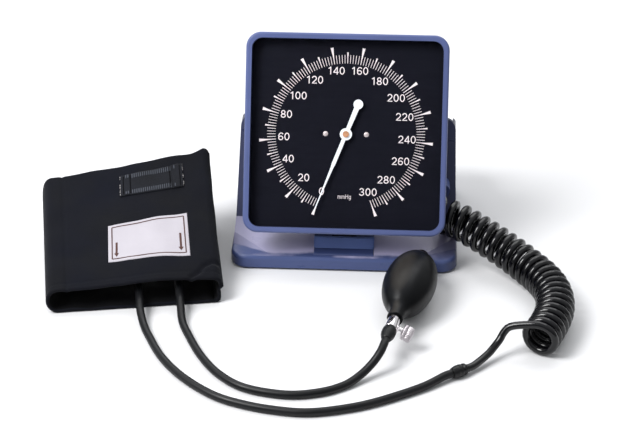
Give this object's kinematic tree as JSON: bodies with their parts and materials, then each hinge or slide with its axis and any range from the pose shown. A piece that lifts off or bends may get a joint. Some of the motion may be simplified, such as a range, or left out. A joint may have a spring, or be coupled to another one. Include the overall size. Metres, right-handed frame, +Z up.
{
  "type": "aneroid sphygmomanometer",
  "caption": "Square clock-size blood pressure gauge tilting on a desk and wall stand with a cuff basket, a curly hose, a squeeze bulb with release valve and a flattened cuff roll.",
  "frame": {"origin": "on the desk under the centre of the stand's foot", "axes": "+Z up, the gauge faces -Y, +X to the right of someone who reads the gauge"},
  "size_m": [0.4812, 0.3942, 0.2004],
  "materials": {
    "stand_plastic": "glossy dark blue",
    "blue_plastic": "glossy mid blue",
    "can_plastic": "satin dark blue",
    "black_plastic": "glossy black",
    "rubber": "matt black rubber",
    "bulb_rubber": "satin black rubber",
    "coil_tube": "glossy black tube",
    "steel": "bright steel",
    "chrome": "polished",
    "knob_metal": "knurled, bright",
    "brass": "plain brass",
    "capsule": "bronze, bright",
    "bush": "white bearing plastic",
    "clear_window": "clear, glossy",
    "dial": "near-black with white printing",
    "pointer_white": "white",
    "cuff_cloth": "dark navy woven nylon",
    "label_cloth": "white woven label",
    "webbing": "ribbed dark webbing"
  },
  "bodies": {
    "stand": {"stand_shell": "stand_plastic", "base_plate": "black_plastic", "rubber_feet": "rubber", "base_screws": "steel", "hinge_block": "blue_plastic", "hinge_pin": "steel", "hose_outlet": "blue_plastic", "outlet_nut": "brass", "link_tube": "rubber", "coil_hose": "coil_tube", "coupling_plug": "black_plastic", "coupling_socket": "black_plastic", "cuff_hose": "rubber", "bulb_hose": "rubber", "hose_sleeve": "rubber", "bulb": "bulb_rubber", "bulb_inlet_valve": "black_plastic", "valve_body": "chrome", "cuff_sleeve": "cuff_cloth", "cuff_bladder": "rubber", "cuff_label": "label_cloth", "cuff_webbing": "webbing"},
    "head": {"bezel_frame": "blue_plastic", "window": "clear_window", "spacer_frame": "blue_plastic", "dial_plate": "dial", "dial_screws": "steel", "back_plate": "blue_plastic", "case_screws": "steel", "rear_can": "can_plastic", "can_screws": "steel", "tilt_bracket": "can_plastic", "bracket_screws": "steel", "hinge_bushes": "bush", "movement_plate": "brass", "movement_screws": "steel", "movement_pillars": "brass", "capsule_bridge": "brass", "pressure_capsule": "capsule", "pressure_nipple": "brass", "hairspring": "capsule"},
    "pointer": {"pointer": "pointer_white", "pointer_hub": "brass", "spindle": "steel"},
    "sector": {"sector_gear": "brass"},
    "rocker": {"rocking_shaft": "steel"},
    "stud": {"capsule_stud": "steel"},
    "knob": {"valve_knob": "knob_metal", "valve_needle": "steel"}
  },
  "joints": [
    {"name": "head_tilt", "type": "hinge", "parent": "stand", "child": "head", "pos_m": [0, -0.0595, 0.017], "axis": [1, 0, 0], "range_deg": [0, 20]},
    {"name": "pointer_turn", "type": "hinge", "parent": "head", "child": "pointer", "pos_m": [0, -0.04085, 0.11748], "axis": [0, 0.891, -0.454], "range_deg": [0, 317.5], "stiffness_Nm_per_rad": 0.0004},
    {"name": "sector_swing", "type": "hinge", "parent": "head", "child": "sector", "pos_m": [0, -0.04251, 0.08185], "axis": [0, 0.891, -0.454], "range_deg": [-26.6, 0]},
    {"name": "rocker_swing", "type": "hinge", "parent": "head", "child": "rocker", "pos_m": [0, -0.01457, 0.12654], "axis": [-1, 0, 0], "range_deg": [0, 6.8]},
    {"name": "stud_push", "type": "slide", "parent": "head", "child": "stud", "axis": [0, -0.891, 0.454], "range_m": [0, 0.0023]},
    {"name": "valve_turn", "type": "hinge", "parent": "stand", "child": "knob", "pos_m": [0.04552, -0.20628, 0.023], "axis": [0.9069, -0.1928, -0.3746], "range_deg": [0, 360]}
  ],
  "couplings": [
    {"joint": "sector_swing", "follows": "pointer_turn", "ratio": -0.083333},
    {"joint": "rocker_swing", "follows": "pointer_turn", "ratio": 0.0211},
    {"joint": "stud_push", "follows": "pointer_turn", "m_per_rad": 0.0004}
  ]
}
